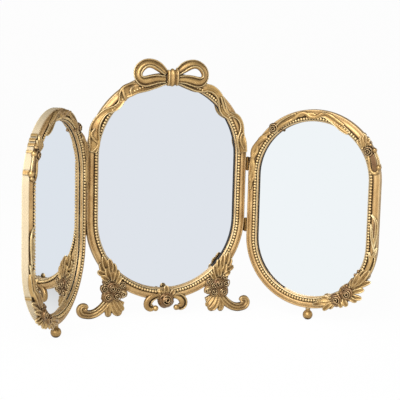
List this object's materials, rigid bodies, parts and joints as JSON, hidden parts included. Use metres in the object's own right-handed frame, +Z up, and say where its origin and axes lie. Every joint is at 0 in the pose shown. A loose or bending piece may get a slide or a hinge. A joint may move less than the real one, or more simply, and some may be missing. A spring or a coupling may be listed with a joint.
{
  "type": "trifold vanity mirror",
  "caption": "Free-standing trifold vanity mirror: round-ended centre mirror on scroll feet with a bow crest, and two hinged wings on ball feet.",
  "frame": {"origin": "on the ground below the middle of the space that the mirror stands in; the middle of the centre panel's bead plane is at X -0.018, Y 0.075", "axes": "+X to the viewer's right, +Y away from the viewer, +Z up"},
  "size_m": [0.4837, 0.1741, 0.3539],
  "materials": {
    "antique_gold": "antique gold paint on cast resin",
    "aged_gold": "antique gold paint with dark patina in deep relief",
    "mirror_silver": "silvered float glass",
    "hardboard": "plain hardboard",
    "zinc_steel": "zinc plated",
    "hinge_brass": "aged brass"
  },
  "bodies": {
    "centre_panel": {"apron_rose": "aged_gold", "apron_screw": "zinc_steel", "bow_crest": "antique_gold", "centre_backing_board": "hardboard", "centre_bead_trim": "antique_gold", "centre_clip_screws": "zinc_steel", "centre_frame": "antique_gold", "centre_mirror_glass": "mirror_silver", "centre_retaining_clips": "zinc_steel", "crest_screws": "zinc_steel", "foot_screws": "zinc_steel", "left_fixed_leaf_screws": "hinge_brass", "left_foot_scroll": "antique_gold", "left_foot_spray": "aged_gold", "left_lower_hinge_fixed_leaf": "hinge_brass", "left_lower_hinge_pin": "hinge_brass", "left_ribbon": "antique_gold", "left_upper_hinge_fixed_leaf": "hinge_brass", "left_upper_hinge_pin": "hinge_brass", "right_fixed_leaf_screws": "hinge_brass", "right_foot_scroll": "antique_gold", "right_foot_spray": "aged_gold", "right_lower_hinge_fixed_leaf": "hinge_brass", "right_lower_hinge_pin": "hinge_brass", "right_ribbon": "antique_gold", "right_upper_hinge_fixed_leaf": "hinge_brass", "right_upper_hinge_pin": "hinge_brass"},
    "left_wing": {"left_wing_frame": "antique_gold", "left_wing_bead_trim": "antique_gold", "left_wing_mirror_glass": "mirror_silver", "left_wing_backing_board": "hardboard", "left_wing_retaining_clips": "zinc_steel", "left_wing_clip_screws": "zinc_steel", "left_ball_foot": "antique_gold", "left_ball_foot_stud": "zinc_steel", "left_hinge_side_scroll": "antique_gold", "left_arch_ribbon": "antique_gold", "left_shoulder_scroll": "antique_gold", "left_side_leaf": "antique_gold", "left_rose_spray": "aged_gold", "left_wing_leaf_screws": "hinge_brass", "left_lower_hinge_wing_leaf": "hinge_brass", "left_upper_hinge_wing_leaf": "hinge_brass"},
    "right_wing": {"right_wing_frame": "antique_gold", "right_wing_bead_trim": "antique_gold", "right_wing_mirror_glass": "mirror_silver", "right_wing_backing_board": "hardboard", "right_wing_retaining_clips": "zinc_steel", "right_wing_clip_screws": "zinc_steel", "right_ball_foot": "antique_gold", "right_ball_foot_stud": "zinc_steel", "right_hinge_side_scroll": "antique_gold", "right_arch_ribbon": "antique_gold", "right_shoulder_scroll": "antique_gold", "right_side_leaf": "antique_gold", "right_rose_spray": "aged_gold", "right_wing_leaf_screws": "hinge_brass", "right_lower_hinge_wing_leaf": "hinge_brass", "right_upper_hinge_wing_leaf": "hinge_brass"}
  },
  "joints": [
    {"name": "left_wing_swing", "type": "hinge", "parent": "centre_panel", "child": "left_wing", "pos_m": [-0.1332, 0.078, 0.168], "axis": [0, 0, 1], "range_deg": [-57, 33]},
    {"name": "right_wing_swing", "type": "hinge", "parent": "centre_panel", "child": "right_wing", "pos_m": [0.0972, 0.078, 0.168], "axis": [0, 0, -1], "range_deg": [-42.3, 47.7]}
  ]
}
